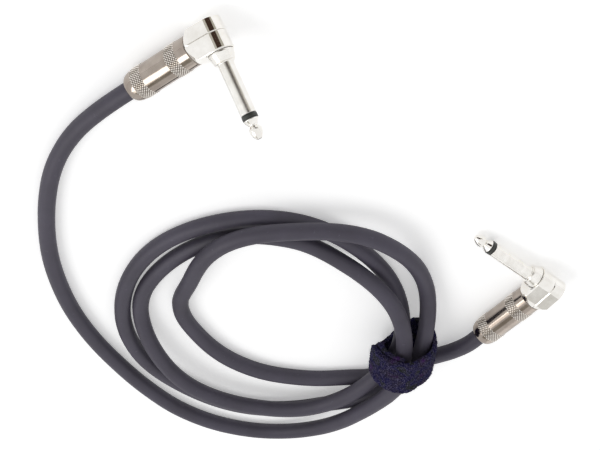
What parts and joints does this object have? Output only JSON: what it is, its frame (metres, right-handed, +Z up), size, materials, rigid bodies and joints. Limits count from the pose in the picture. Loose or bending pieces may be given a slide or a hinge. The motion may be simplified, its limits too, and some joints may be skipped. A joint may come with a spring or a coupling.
{
  "type": "instrument cable",
  "caption": "Screened instrument cable with a right-angle 6.35 mm plug at each end, its loops gathered in a flat coil by a hook-and-loop strap",
  "frame": {"origin": "on the table, under the middle of the box round the two plugs", "axes": "+Z up from the table; +X along the picture's right; +Y towards plug a, the one with the raised finger"},
  "size_m": [0.2291, 0.2576, 0.0404],
  "materials": {
    "polished_nickel": "bright nickel plate, polished",
    "satin_nickel": "satin nickel plate, turned, with diamond knurling",
    "black_plastic": "moulded insulating plastic",
    "core_plastic": "extruded natural polyethylene",
    "brass": "stamped brass, tinned where soldered",
    "tinned_copper": "twisted strands of tinned copper",
    "jacket": "extruded charcoal jacket, matt",
    "strap_cloth": "near-black napped loop cloth of a hook-and-loop strap"
  },
  "bodies": {
    "root": {"finger_sleeve_a": "polished_nickel", "tip_insulator_ring_a": "black_plastic", "finger_tip_a": "polished_nickel", "rod_insulator_a": "black_plastic", "terminal_washer_a": "black_plastic", "tip_terminal_a": "brass", "head_body_a": "polished_nickel", "head_cover_a": "polished_nickel", "cable_chuck_a": "black_plastic", "cable_end_a": "jacket", "cable_core_a": "core_plastic", "shield_tail_a": "tinned_copper", "finger_sleeve_b": "polished_nickel", "tip_insulator_ring_b": "black_plastic", "finger_tip_b": "polished_nickel", "rod_insulator_b": "black_plastic", "terminal_washer_b": "black_plastic", "tip_terminal_b": "brass", "head_body_b": "polished_nickel", "head_cover_b": "polished_nickel", "cable_chuck_b": "black_plastic", "cable_end_b": "jacket", "cable_core_b": "core_plastic", "shield_tail_b": "tinned_copper", "cable_lead_a": "jacket", "cable_coil": "jacket", "cable_lead_b": "jacket", "cable_tie": "strap_cloth"},
    "liner_a": {"liner_tube_a": "black_plastic"},
    "barrel_a": {"barrel_a": "satin_nickel"},
    "liner_b": {"liner_tube_b": "black_plastic"},
    "barrel_b": {"barrel_b": "satin_nickel"}
  },
  "joints": [
    {"name": "barrel_a_travel", "type": "slide", "parent": "root", "child": "liner_a", "axis": [-0.7765, -0.6288, -0.0422], "range_m": [0, 0.004]},
    {"name": "barrel_a_turn", "type": "hinge", "parent": "liner_a", "child": "barrel_a", "pos_m": [-0.06449, 0.07722, 0.0088], "axis": [-0.7765, -0.6288, -0.0422], "range_deg": [0, 1800]},
    {"name": "barrel_b_travel", "type": "slide", "parent": "root", "child": "liner_b", "axis": [-0.6206, -0.7841, 0], "range_m": [0, 0.004]},
    {"name": "barrel_b_turn", "type": "hinge", "parent": "liner_b", "child": "barrel_b", "pos_m": [0.07791, -0.06233, 0.00695], "axis": [-0.6206, -0.7841, 0], "range_deg": [0, 1800]}
  ],
  "couplings": [
    {"joint": "barrel_a_travel", "follows": "barrel_a_turn", "m_per_rad": 0.0001273},
    {"joint": "barrel_b_travel", "follows": "barrel_b_turn", "m_per_rad": 0.0001273}
  ]
}
